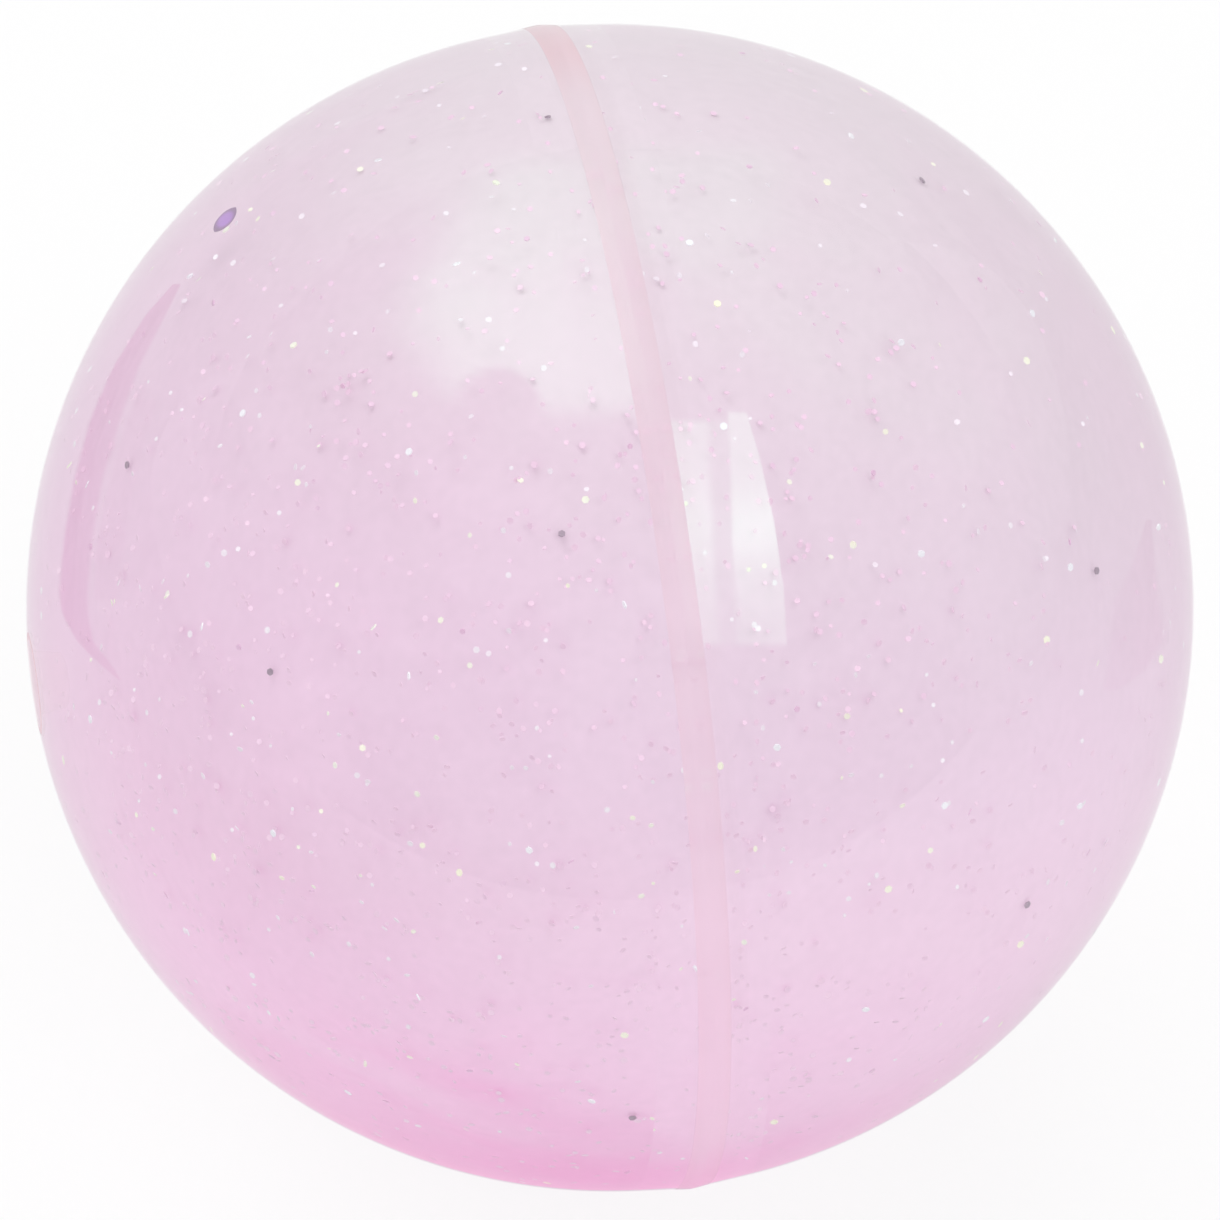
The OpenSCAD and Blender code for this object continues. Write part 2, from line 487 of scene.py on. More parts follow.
def weldBead():
    w = weldLook
    material, nodes, links, rubber, output = newMaterial("weldBead")
    place = addNode(nodes, "ShaderNodeTexCoord").outputs["Object"]
    parts = addNode(nodes, "ShaderNodeSeparateXYZ")
    links.new(place, parts.inputs[0])
    away = addNode(nodes, "ShaderNodeMath", operation="ABSOLUTE")
    links.new(parts.outputs["X"], away.inputs[0])
    flow = noiseAt(nodes, links, place, w["tintScale"])
    halves = [shellShape["bandHalf"] * (1 + way * w["waver"]) for way in (-1, 1)]
    share = addNode(nodes, "ShaderNodeMath", operation="DIVIDE")
    links.new(away.outputs[0], share.inputs[0])
    links.new(mapped(nodes, links, flow, toRange=halves), share.inputs[1])
    ramp = addNode(nodes, "ShaderNodeValToRGB")
    edgeStart, edgeEnd = w["edgeFrom"]
    stops = [(0.0, w["middle"]), (edgeStart, w["middle"]), (edgeEnd, w["edge"])]
    setRamp(ramp.color_ramp, stops)
    links.new(share.outputs[0], ramp.inputs["Fac"])
    thickRange = [ballRadius * part for part in w["thickFrom"]]
    thick = mapped(nodes, links, parts.outputs["Y"], thickRange, curve="SMOOTHSTEP")
    tint = mixedColour(nodes, links, thick, ramp.outputs["Color"], (*w["thick"], 1), "MULTIPLY")
    links.new(tint, rubber.inputs["Base Color"])
    setInputs(rubber, {
        "Specular Tint": (*[w["sheen"]] * 3, 1),
        "Roughness": w["roughness"],
        "Transmission Weight": 1 - w["milk"],
        "IOR": shellLook["weldIor"],
    })
    addSkin(nodes, links, rubber, **w["skin"])
    letLampsThrough(nodes, links, rubber, output, weldLook["lampTint"])
    return material


def weldFilm():
    material, nodes, links, rubber, output = newMaterial("weldFilm")
    setInputs(rubber, {
        "Base Color": (*weldLook["film"], 1),
        "Roughness": weldLook["filmRoughness"],
        "Specular IOR Level": 0,
        "Alpha": weldLook["filmAlpha"],
    })
    letLampsThrough(nodes, links, rubber, output, (1, 1, 1))
    return material


def seamWeld():
    s, w = shellShape, weldLook
    half = s["bandHalf"]
    bead = []
    for step in range(w["beadSteps"] + 1):
        along = half * (1 - 2 * step / w["beadSteps"])
        share = abs(along) / half
        rise = w["crown"] * (1 - share ** 2)
        out = math.sqrt(ballRadius ** 2 - along ** 2) + swell(along) + rise
        bead.append((along, out, beadSlot))
    bead[-1] = (*bead[-1][:2], filmSlot)
    left = rimPoints(-s["filmHalf"], 0, filmSlot)
    right = rimPoints(s["filmHalf"], 2 * s["filmHalf"], filmSlot)
    ends = [(-s["filmHalf"], cavityRadius, filmSlot), (s["filmHalf"], cavityRadius, filmSlot)]
    profile = bead + left + ends + right[::-1]

    def waver(along, out, angle):
        if out < ballRadius:
            return along, out
        slow = noise.noise(w["crownScale"] * Vector((math.cos(angle), math.sin(angle), 0)))
        return along, out + w["waver"] * w["crown"] * slow * (1 - (along / half) ** 2)

    vertices, faces, slots = turnedProfile(profile, w["segments"], waver)
    return newPiece("seamWeld", vertices, faces, [weldBead(), weldFilm()], slots)


weld = seamWeld()
weld.visible_diffuse = False
weld.visible_shadow = False      # clear as it is, it leaves no shadow on the milk
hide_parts("seam_weld")
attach(weld, "shell")
print("weld turned")

# Filler plug

plugLook = {
    "colour": (0.92, 0.64, 0.68),
    "sheen": 0.3,                # how strongly the face mirrors, against clear rubber
    "haze": (0.86, 0.58, 0.65),
    "hazeAlpha": 0.06,
    "glue": (0.88, 0.68, 0.74),
    "glueAlpha": 1.0,
    "glueWidth": 0.35 * mm,      # ring of glue round the face
    "roughness": 0.4,
    "swellScale": 500,
    "grainShare": 0.4,
    "shades": (0.88, 1.1),       # darkest and palest share of a tint
    "gap": 0.005 * mm,           # glue fills the rest of the fit
    "dish": 0.03 * mm,
    "faceSteps": 10,
    "segments": 96,
}
faceSlot, hazeSlot, glueSlot = range(3)


# Haze in the plug's clear body, and the glue round its head
def plugHaze(name, colour, alpha):
    p = plugLook
    material, nodes, links, rubber, output = newMaterial(name)
    skin = addNode(nodes, "ShaderNodeGroup", node_tree=rubberSkin)
    setInputs(skin, {"Swell Scale": p["swellScale"], "Grain Share": p["grainShare"]})
    darkest, palest = [(*[shade * c for c in colour], 1) for shade in p["shades"]]
    tint = mixedColour(nodes, links, skin.outputs["Height"], darkest, palest)
    links.new(tint, rubber.inputs["Base Color"])
    setInputs(rubber, {"Roughness": p["roughness"], "Specular IOR Level": 0, "Alpha": alpha})
    return material


def fillerPlug():
    s, p = shellShape, plugLook
    seat = ballRadius - s["headThickness"]
    head = s["headRadius"] + s["plugFit"] - p["gap"]
    profile = []
    for step in range(p["faceSteps"] + 1):
        share = step / p["faceSteps"]
        out = share * (head - p["glueWidth"])
        dish = p["dish"] * (1 - share ** 2) ** 2
        profile.append((-(math.sqrt(ballRadius ** 2 - out ** 2) - dish), out, faceSlot))
    profile[-1] = (*profile[-1][:2], glueSlot)
    middle = head - p["glueWidth"] / 2
    profile += [
        (-math.sqrt(ballRadius ** 2 - middle ** 2), middle, glueSlot),
        (-math.sqrt(ballRadius ** 2 - head ** 2), head, hazeSlot),
        (-seat, head, hazeSlot),
        (-seat, s["shankRadius"], hazeSlot),
        (-cavityRadius, s["tipRadius"], hazeSlot),
        (-cavityRadius, 0, hazeSlot),
    ]
    vertices, faces, slots = turnedProfile(profile, p["segments"])
    face = clearRubber("plugRubber", p["colour"], shellLook["swellIor"], p["sheen"])
    haze = plugHaze("plugHaze", p["haze"], p["hazeAlpha"])
    glue = plugHaze("plugGlue", p["glue"], p["glueAlpha"])
    return newPiece("fillerPlug", vertices, faces, [face, haze, glue], slots)


plug = fillerPlug()
plug.visible_diffuse = False
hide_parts("filler_plug")
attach(plug, "shell")
print("plug turned")

# Clear liquid and the milky core in it

liquidLook = {
    "tint": (0.975, 0.945, 0.965),
    "thin": (1.0, 0.995, 1.0),
    "streakScale": 90,
    "streakTwist": 1.5,
    "ripple": 0.02 * mm,
    "rippleScale": 6,
    "subdivisions": 6,
}


# Bends nothing, as the wall that it wets, and is a little pinker in slow streaks
def clearLiquid():
    k = liquidLook
    material, nodes, links, liquid, output = newMaterial("clearLiquid")
    place = addNode(nodes, "ShaderNodeTexCoord").outputs["Object"]
    streaks = noiseAt(nodes, links, place, k["streakScale"], Distortion=k["streakTwist"])
    tint = mixedColour(nodes, links, streaks, (*k["tint"], 1), (*k["thin"], 1))
    links.new(tint, liquid.inputs["Base Color"])
    setInputs(liquid, {"Transmission Weight": 1, "Roughness": 0, "IOR": 1})
    letLampsThrough(nodes, links, liquid, output, k["thin"])
    return material


# Ball of the given radius whose surface rises and sinks by the height that a direction gives
def unevenBall(name, radius, height, subdivisions, material):
    shape = bmesh.new()
    bmesh.ops.create_icosphere(shape, subdivisions=subdivisions, radius=1)
    vertices = []
    for vertex in shape.verts:
        way = vertex.co.normalized()
        vertices.append(way * (radius + height(way)))
    faces = [[v.index for v in face.verts] for face in shape.faces]
    shape.free()
    return newPiece(name, vertices, faces, [material])


def ripple(way):
    return liquidLook["ripple"] * noise.noise(liquidLook["rippleScale"] * way)


clear = unevenBall("clearLiquid", liquidRadius, ripple, liquidLook["subdivisions"], clearLiquid())
clear.visible_diffuse = False
clear.visible_shadow = False
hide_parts("tinted_liquid")
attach(clear, "fill")
print("clear liquid poured")

milkLook = {
    "swirl": 0.12 * mm,
    "swirlScale": 4,
    "swirlOctaves": 3,
    "swirlFalloff": 1.0,
    "swirlStep": 2.0,            # each octave is this much finer than the one before
    "twist": 0.4,
    "twistScale": 3,
    "subdivisions": 7,
    # Along the next way the colour is partly pigment settled low and partly painted light: a
    # painted pink glow low down, where light through the ball gathers, and a painted paler top,
    # where the lamps fall
    "lean": (0.25, 0.51, 0.82),  # the milk is paler this way and pinker the other way
    "stops": [
        (0.01, (0.948, 0.520, 0.786)),
        (0.03, (0.936, 0.573, 0.808)),
        (0.06, (0.940, 0.626, 0.837)),
        (0.09, (0.945, 0.654, 0.853)),
        (0.14, (0.927, 0.663, 0.849)),
        (0.25, (0.903, 0.675, 0.836)),
        (0.35, (0.882, 0.674, 0.827)),
        (0.45, (0.853, 0.664, 0.809)),
        (0.55, (0.824, 0.654, 0.785)),
        (0.65, (0.801, 0.651, 0.766)),
        (0.75, (0.779, 0.651, 0.747)),
        (0.85, (0.765, 0.667, 0.740)),
        (0.95, (0.763, 0.708, 0.750)),
    ],
    "dye": (-0.49, 0.85, -0.17),     # a thin cloud of dye lies this way
    "dyeTint": (0.992, 0.953, 0.976),
    "bare": (1.004, 1.026, 1.012),
    "cloudScale": 70,
    "cloudDetail": 3,
    "cloudTwist": 0.8,
    "drift": 0.1,                # how far the clouds push the colours along the lean
    "mottleScale": 1800,
    "mottleDetail": 2,
    "mottleFrom": (0.25, 0.75),
    "mottle": 0.02,              # share by which the finest clouds lighten and darken the milk
    "roughness": 0.55,
}


# How far a place lies along a way from the ball's middle
def alongWay(nodes, links, place, way):
    along = addNode(nodes, "ShaderNodeVectorMath", operation="DOT_PRODUCT")
    links.new(place, along.inputs[0])
    along.inputs[1].default_value = way
    return along.outputs["Value"]


def milkyLiquid():
    m = milkLook
    material, nodes, links, milk, output = newMaterial("milkyLiquid")
    place = addNode(nodes, "ShaderNodeTexCoord").outputs["Object"]
    # The colour from bottom to top is settled pigment and painted light: a painted pink glow low
    # down and a painted paler top
    lean = alongWay(nodes, links, place, Vector(m["lean"]).normalized())
    cloud = noiseAt(
        nodes, links, place, m["cloudScale"], Detail=m["cloudDetail"], Distortion=m["cloudTwist"])
    mixed = addNode(nodes, "ShaderNodeMath", operation="ADD")
    links.new(mapped(nodes, links, lean, (-coreRadius, coreRadius)), mixed.inputs[0])
    links.new(mapped(nodes, links, cloud, toRange=(-m["drift"], m["drift"])), mixed.inputs[1])
    ramp = addNode(nodes, "ShaderNodeValToRGB")
    setRamp(ramp.color_ramp, m["stops"])
    links.new(mixed.outputs[0], ramp.inputs["Fac"])
    awayFromDye = alongWay(nodes, links, place, -Vector(m["dye"]).normalized())
    bare = mapped(nodes, links, awayFromDye, (0, coreRadius), curve="SMOOTHSTEP")
    dye = mixedColour(nodes, links, bare, (*m["dyeTint"], 1), (*m["bare"], 1))
    dyed = addNode(nodes, "ShaderNodeVectorMath", operation="MULTIPLY")
    links.new(ramp.outputs["Color"], dyed.inputs[0])
    links.new(dye, dyed.inputs[1])
    fine = noiseAt(nodes, links, place, m["mottleScale"], Detail=m["mottleDetail"])
    mottle = mapped(nodes, links, fine, m["mottleFrom"], (1 - m["mottle"], 1 + m["mottle"]))
    shade = addNode(nodes, "ShaderNodeVectorMath", operation="SCALE")
    links.new(dyed.outputs[0], shade.inputs[0])
    links.new(mottle, shade.inputs["Scale"])
    links.new(shade.outputs[0], milk.inputs["Base Color"])
    setInputs(milk, {"Roughness": m["roughness"], "Specular IOR Level": 0})
    return material


def milkSwirl(way):
    m = milkLook
    lift = m["twist"] * noise.noise(m["twistScale"] * way)
    twisted = Vector((way.x, way.y, way.z + lift))
    octaves = m["swirlFalloff"], m["swirlStep"], m["swirlOctaves"]
    return m["swirl"] * noise.fractal(m["swirlScale"] * twisted, *octaves)


milk = unevenBall("milkyLiquid", coreRadius, milkSwirl, milkLook["subdivisions"], milkyLiquid())
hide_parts("milky_core")
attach(milk, "fill")
print("milky core shaped")

# Glitter

flakeLooks = {
    # Pearl and gold foil glow faintly: a painted glint, in place of the glints that lamps would
    # give
    "pearl": {
        "colour": (0.94, 0.94, 0.98), "other": (0.84, 0.85, 0.90), "roughness": 0.3, "paintedGlint": 0.02,
    },
    "finePearl": {"colour": (0.90, 0.86, 0.92), "other": (0.85, 0.75, 0.84), "roughness": 0.3},
    "gold": {
        "colour": (0.94, 0.94, 0.72), "other": (0.85, 0.88, 0.79), "roughness": 0.3, "paintedGlint": 0.02,
    },
    "fineGold": {"colour": (0.94, 0.93, 0.76), "other": (0.86, 0.86, 0.80), "roughness": 0.3},
    "magenta": {"colour": (0.79, 0.54, 0.71), "other": (0.73, 0.49, 0.68), "roughness": 0.4},
    "fineMagenta": {"colour": (0.86, 0.63, 0.78), "other": (0.81, 0.59, 0.75), "roughness": 0.4},
    "dark": {"colour": (0.29, 0.225, 0.285), "other": (0.40, 0.31, 0.39), "roughness": 0.4},
    "violet": {"colour": (0.375, 0.175, 0.545), "other": (0.34, 0.17, 0.47), "roughness": 0.35},
}
patchScale = 700                 # size of the noise that tints flakes one by one
patchRange = (0.3, 0.7)


# Foil of a flake: its tint comes and goes from flake to flake
def flakeTintGroup():
    group = bpy.data.node_groups.new("flakeTint", "ShaderNodeTree")
    for name in ("Colour", "Other Colour"):
        group.interface.new_socket(name, in_out="INPUT", socket_type="NodeSocketColor")
    group.interface.new_socket("Colour", in_out="OUTPUT", socket_type="NodeSocketColor")
    nodes, links = group.nodes, group.links
    entry, leave = addNode(nodes, "NodeGroupInput"), addNode(nodes, "NodeGroupOutput")
    place = addNode(nodes, "ShaderNodeTexCoord").outputs["Object"]
    share = mapped(nodes, links, noiseAt(nodes, links, place, patchScale), patchRange)
    tint = mixedColour(nodes, links, share, entry.outputs["Colour"], entry.outputs["Other Colour"])
    links.new(tint, leave.inputs["Colour"])
    return group


flakeTint = flakeTintGroup()


def flakeFoil(kind):
    look = flakeLooks[kind]
    material, nodes, links, foil, output = newMaterial(kind + "Foil")
    tint = addNode(nodes, "ShaderNodeGroup", node_tree=flakeTint)
    setInputs(tint, {"Colour": (*look["colour"], 1), "Other Colour": (*look["other"], 1)})
    links.new(tint.outputs["Colour"], foil.inputs["Base Color"])
    # The foil glows faintly in its own tint: painted glint
    links.new(tint.outputs["Colour"], foil.inputs["Emission Color"])
    setInputs(foil, {"Emission Strength": look.get("paintedGlint", 0), "Roughness": look["roughness"]})
    return material


foils = {kind: flakeFoil(kind) for kind in flakeLooks}

leafTips = {"colour": (0.22, 0.12, 0.24), "range": (0.30 * mm, 0.62 * mm)}


# The violet leaf darkens towards its tips
def darkenLeafTips(material):
    nodes, links = material.node_tree.nodes, material.node_tree.links
    foil = nodes["Principled BSDF"]
    leafLow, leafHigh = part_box("violet_flake")
    place = addNode(nodes, "ShaderNodeTexCoord")
    away = addNode(nodes, "ShaderNodeVectorMath", operation="DISTANCE")
    links.new(place.outputs["Object"], away.inputs[0])
    away.inputs[1].default_value = (leafLow + leafHigh) / 2
    share = mapped(nodes, links, away.outputs["Value"], leafTips["range"], curve="SMOOTHSTEP")
    foilColour = foil.inputs["Base Color"].links[0].from_socket
    tint = mixedColour(nodes, links, share, foilColour, (*leafTips["colour"], 1))
    links.new(tint, foil.inputs["Base Color"])


darkenLeafTips(foils["violet"])

cadFlakes = {
    "pearl_glitter": "pearl",
    "gold_glitter": "gold",
    "magenta_glitter": "magenta",
    "dark_glitter": "dark",
    "violet_flake": "violet",
}
for node, kind in cadFlakes.items():
    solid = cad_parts[node]
    solid.data.materials.clear()
    solid.data.materials.append(foils[kind])

fineGlitter = {
    "finePearl": {
        "count": 950, "width": (0.18, 0.36), "seed": 3, "slot": "pearl_flake",
        "thickest": (-0.46, -0.51, 0.73), "thinnest": 0.45,
    },
    "fineGold": {
        "count": 300, "width": (0.20, 0.36), "seed": 5, "slot": "gold_flake",
        "thickest": (-0.46, -0.51, 0.73), "thinnest": 0.3,
    },
    "fineMagenta": {
        "count": 8000, "width": (0.20, 0.36), "seed": 7, "slot": "magenta_flake",
        "thickest": (-0.47, -0.81, 0.36), "thinnest": 0.15,
    },
}
fineLayer = {
    "inner": coreRadius + 0.25 * mm,
    "outer": liquidRadius - 0.2 * mm,
    "thickness": 0.03 * mm,
    "corners": 6,
    "clumpScale": 8,
    "clumpFrom": (-0.4, 0.6),    # noise between which a clump thickens
    "crowdFrom": (-0.2, 0.9),    # turn towards the thickest way between which the flakes crowd
    "barest": 0.3,               # share of the flakes that lie between clumps
    "sink": 1.5,                 # above 1, more of them lie near the core
    "lieFlat": 1.6,              # how much they face outwards
}


# thickest is the way in which the flakes crowd, and thinnest the share of that crowd on the
# far side
def flakeCloud(kind, count, width, seed, slot, thickest, thinnest):
    f = fineLayer
    draw = random.Random(seed)
    crowd = Vector(thickest).normalized()
    corners = f["corners"]
    vertices, faces = [], []
    for _ in range(count):
        way = Vector((draw.gauss(0, 1), draw.gauss(0, 1), draw.gauss(0, 1))).normalized()
        clumping = noise.noise(f["clumpScale"] * way + Vector((seed, 0, 0)))
        clump = smoothStep(*f["clumpFrom"], clumping)
        crowding = thinnest + (1 - thinnest) * smoothStep(*f["crowdFrom"], way.dot(crowd))
        if draw.random() > crowding * (f["barest"] + (1 - f["barest"]) * clump):
            continue
        depth = draw.random() ** f["sink"]
        centre = way * (f["inner"] + depth * (f["outer"] - f["inner"]))
        facing = Vector((draw.gauss(0, 1), draw.gauss(0, 1), draw.gauss(0, 1))).normalized()
        facing = (facing + way * f["lieFlat"]).normalized()
        turned = facing.to_track_quat("Z", "Y").to_matrix()
        reach = draw.uniform(*width) * mm / 2
        spin = draw.uniform(0, math.pi)
        first = len(vertices)
        for level in (f["thickness"] / 2, -f["thickness"] / 2):
            for corner in range(corners):
                angle = spin + corner * 2 * math.pi / corners
                spot = Vector((reach * math.cos(angle), reach * math.sin(angle), level))
                vertices.append(centre + turned @ spot)
        top = [first + i for i in range(corners)]
        bottom = [corner + corners for corner in top]
        faces += [top, bottom[::-1]]
        for i, j in zip(range(corners), [*range(1, corners), 0]):
            faces.append([top[j], top[i], bottom[i], bottom[j]])
    piece = newPiece(kind, vertices, faces, [foils[kind]], smooth=False)
    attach(piece, "fill")
    print(kind, len(vertices) // (2 * corners), "flakes")
    return piece


for kind, recipe in fineGlitter.items():
    flakeCloud(kind, **recipe)
print("glitter scattered")

# Stage

stageSetup = {
    "front": -0.19,
    "back": 0.55,
    "wallAt": 0.75,
    "wallTop": 0.30,
    "halfWidth": 0.9,
    "bendSteps": 12,
    "paper": 0.88,
    "paperRoughness": 0.9,
    "shown": 0.75,               # share of plain white that the camera sees on the paper
}
floorHeight = -(ballRadius + shellShape["ridgeRise"] + weldLook["crown"])


# The camera, and what is seen through the ball, get a share of plain white; lamps and mirrors
# get the paper. From behind it is open, so that the ball's back can be looked at.
def whitePaper():
    material, nodes, links, paper, output = newMaterial("whitePaper")
    setInputs(paper, {
        "Base Color": (*[stageSetup["paper"]] * 3, 1),
        "Roughness": stageSetup["paperRoughness"],
        "Specular IOR Level": 0,
    })
    glow = addNode(nodes, "ShaderNodeEmission")
    path = addNode(nodes, "ShaderNodeLightPath")
    seen = addNode(nodes, "ShaderNodeMath", operation="MAXIMUM")
    links.new(path.outputs["Is Camera Ray"], seen.inputs[0])
    links.new(path.outputs["Is Transmission Ray"], seen.inputs[1])
    share = addNode(nodes, "ShaderNodeMath", operation="MULTIPLY")
    links.new(seen.outputs[0], share.inputs[0])
    share.inputs[1].default_value = stageSetup["shown"]
    front = mixedShader(nodes, links, share.outputs[0], paper, glow)
    clear = addNode(nodes, "ShaderNodeBsdfTransparent")
    side = addNode(nodes, "ShaderNodeNewGeometry")
    oneSided = mixedShader(nodes, links, side.outputs["Backfacing"], front, clear)
    links.new(oneSided.outputs[0], output.inputs["Surface"])
    return material


def paperSweep():
    s = stageSetup
    bend = s["wallAt"] - s["back"]
    line = [(s["front"], floorHeight)]
    for step in range(s["bendSteps"] + 1):
        angle = math.pi / 2 * step / s["bendSteps"]
        height = floorHeight + bend * (1 - math.cos(angle))
        line.append((s["back"] + bend * math.sin(angle), height))
    line.append((s["wallAt"], floorHeight + s["wallTop"] + bend))
    vertices = [(x, y, z) for y, z in line for x in (-s["halfWidth"], s["halfWidth"])]
    faces = [[2 * i, 2 * i + 1, 2 * i + 3, 2 * i + 2] for i in range(len(line) - 1)]
    sweep = newPiece("paperSweep", vertices, faces, [whitePaper()], closed=False)
    sweep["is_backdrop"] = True
    return sweep


paperSweep()

lampSetup = {
    "overheadLamp": {
        "way": (-0.18, 0.35, 0.92), "distance": 0.7, "size": (0.46, 0.38), "radiance": 2.0,
    },
    "windowLamp": {
        "way": (0.32, -0.46, 0.83), "distance": 0.8, "size": (0.30, 0.46), "radiance": 2.0,
    },
}


# Lamps that shade the ball; the cards below are what it mirrors
def addLamp(name, way, distance, size, radiance):
    data = bpy.data.lights.new(name, "AREA")
    data.shape = "RECTANGLE"
    data.size, data.size_y = size
    data.energy = radiance * math.pi * size[0] * size[1]
    lamp = bpy.data.objects.new(name, data)
    scene.collection.objects.link(lamp)
    away = Vector(way).normalized()
    lamp.location = away * distance
    lamp.rotation_mode = "QUATERNION"
    lamp.rotation_quaternion = away.to_track_quat("Z", "Y")
    lamp.visible_glossy = False
    return lamp


for name, setup in lampSetup.items():
    addLamp(name, **setup)


# Where a line of sight through a pixel of the frame goes once the ball has mirrored it
def mirroredSight(column, row):
    half = cameraSetup["framePixels"] / 2
    slope = math.tan(math.asin(ballRadius / cameraSetup["distance"])) / cameraSetup["ballPixels"]
    eye = scene.camera.matrix_world.translation
    sight = (viewRight * (column - half) + viewUp * (half - row)) * slope - viewBack
    sight.normalize()
    along = -eye.dot(sight)
    miss = eye.length_squared - along * along
    point = eye + sight * (along - math.sqrt(max(0.0, ballRadius ** 2 - miss)))
    near = max(0.0, 1 - abs(point.x) / shellShape["ridgeReach"])
    tilt = math.copysign(2 * shellShape["ridgeRise"] * near / shellShape["ridgeReach"], point.x)
    normal = (point.normalized() + Vector((tilt, 0, 0))).normalized()
    return point, sight - 2 * sight.dot(normal) * normal


def between(places, values, at):
    for low, high, start, end in zip(places, places[1:], values, values[1:]):
        if at <= high:
            return start + (end - start) * (at - low) / (high - low)
    return values[-1]


def cardGlow(name):
    material, nodes, links, paint, output = newMaterial(name)
    nodes.remove(paint)
    glow = addNode(nodes, "ShaderNodeEmission")
    level = addNode(nodes, "ShaderNodeAttribute", attribute_name="glow")
    links.new(level.outputs["Color"], glow.inputs["Color"])
    clear = addNode(nodes, "ShaderNodeBsdfTransparent")
    mix = mixedShader(nodes, links, level.outputs["Alpha"], clear, glow)
    links.new(mix.outputs[0], output.inputs["Surface"])
    return material


# A sheet that only mirrors show, with a colour and a cover at each vertex
def glowCard(name, vertices, colours, faces):
    card = newPiece(name, vertices, faces, [cardGlow(name)], closed=False)
    layer = card.data.color_attributes.new("glow", "FLOAT_COLOR", "POINT")
    layer.data.foreach_set("color", [value for colour in colours for value in colour])
    for ray in ("camera", "diffuse", "shadow", "transmission", "volume_scatter"):
        setattr(card, "visible_" + ray, False)
    card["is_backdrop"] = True
    return card


# Faces of a square grid of vertices
def gridFaces(steps):
    wide = steps + 1
    corners = [down * wide + across for down in range(steps) for across in range(steps)]
    return [[first, first + 1, first + 1 + wide, first + wide] for first in corners]


# The place that a pixel of the frame mirrors, at the given distance but above the floor
def mirroredPlace(column, row, distance, aboveFloor):
    point, way = mirroredSight(column, row)
    reach = distance
    if way.z < 0:
        reach = min(reach, (floorHeight + aboveFloor - point.z) / way.z)
    return point + way * reach


cardDistance = 0.8
cardAboveFloor = 1 * mm


# A card's outline is given by the rows and columns of the frame where the ball mirrors it, and
# paint gives its colour and cover at a pixel
def mirrorCard(name, outline, paint, steps=40):
    rows = outline["rows"]
    vertices, colours = [], []
    for down in range(steps + 1):
        row = rows[0] + (rows[-1] - rows[0]) * down / steps
        left = between(rows, outline["leftColumns"], row)
        right = between(rows, outline["rightColumns"], row)
        for across in range(steps + 1):
            column = left + (right - left) * across / steps
            vertices.append(mirroredPlace(column, row, cardDistance, cardAboveFloor))
            colours.append(paint(column, row, across / steps, down / steps))
    return glowCard(name, vertices, colours, gridFaces(steps))


cardLight = (0.55, 1.0, 0.70)      # cool light, so that the mirrored cards whiten the pink

skylight = {
    "rows": (140, 190, 230, 280, 330, 370, 400, 430),
    "leftColumns": (500, 435, 400, 374, 368, 390, 420, 500),
    "rightColumns": (590, 600, 610, 624, 636, 646, 652, 658),
    "level": 3.3,
    "topRows": (180, 340),       # rows between which it gains its full light
    "topLight": 0.5,
    "rightDim": 0.2,
    "dimFrom": 0.6,              # shares of the card's width and height, where it dims or ends
    "leftEnd": 0.35,
    "topEnd": 0.15,
    "lowEnd": 0.88,
    "notch": (498, 412, 44),     # column, row and radius of the round bite in the lower edge
    "notchBlur": 6,
}


def skylightPaint(column, row, across, down):
    s = skylight
    fade = s["topLight"] + (1 - s["topLight"]) * smoothStep(*s["topRows"], row)
    fade *= 1 - s["rightDim"] * smoothStep(s["dimFrom"], 1.0, across)
    cover = smoothStep(0, s["leftEnd"], across)
    cover = cover * smoothStep(0, s["topEnd"], down) * smoothStep(1.0, s["lowEnd"], down)
    biteColumn, biteRow, biteRadius = s["notch"]
    bite = math.hypot(column - biteColumn, row - biteRow)
    cover *= smoothStep(biteRadius - s["notchBlur"], biteRadius + s["notchBlur"], bite)
    return (*[s["level"] * fade * c for c in cardLight], cover)


mirrorCard("skylight", skylight, skylightPaint)

# Faint end of the skylight on the other half of the ball
farSkylight = {
    "rows": (130, 170, 230, 300),
    "leftColumns": (604, 612, 624, 640),
    "rightColumns": (810, 820, 810, 790),
    "level": 1.15,
    "leftEnd": 0.1,
    "rightEnd": 0.6,
    "topEnd": 0.25,
    "lowEnd": 0.6,
}


def farSkylightPaint(column, row, across, down):
    s = farSkylight
    cover = smoothStep(0, s["leftEnd"], across) * smoothStep(1.0, s["rightEnd"], across)
    cover *= smoothStep(0, s["topEnd"], down) * smoothStep(1.0, s["lowEnd"], down)
    return (*[s["level"] * c for c in cardLight], cover)


mirrorCard("farSkylight", farSkylight, farSkylightPaint)

# Window with a bar between its panes
window = {
    "rows": (410, 424, 455, 520, 590, 648),
    "leftColumns": (660, 662, 668, 678, 690, 700),
    "rightColumns": (746, 750, 759, 774, 784, 787),
    "barLeft": (706, 707, 708, 711, 715, 719),
    "barRight": (727, 728, 730, 732, 734, 736),
    "leftTop": 421,              # row at which the left pane starts
    "level": 4.0,
    "bar": 0.45,                 # light of the bar against that of the panes
    "peakRow": 525,              # the panes are brightest there
    "peakSpread": 36,
    "leftPeak": 0.35,
    "rightPeak": 0.6,
    "lowRows": (540, 648),       # rows over which the panes dim downwards
    "lowDim": 0.35,
    "highRows": (490, 430),      # and upwards
    "highDim": 0.12,
    "barBlurs": (4, 3),          # pixels, at its left and its right
    "leftTopBlur": 3,
    "topEnd": 0.02,
    "lowEnd": 0.97,
}


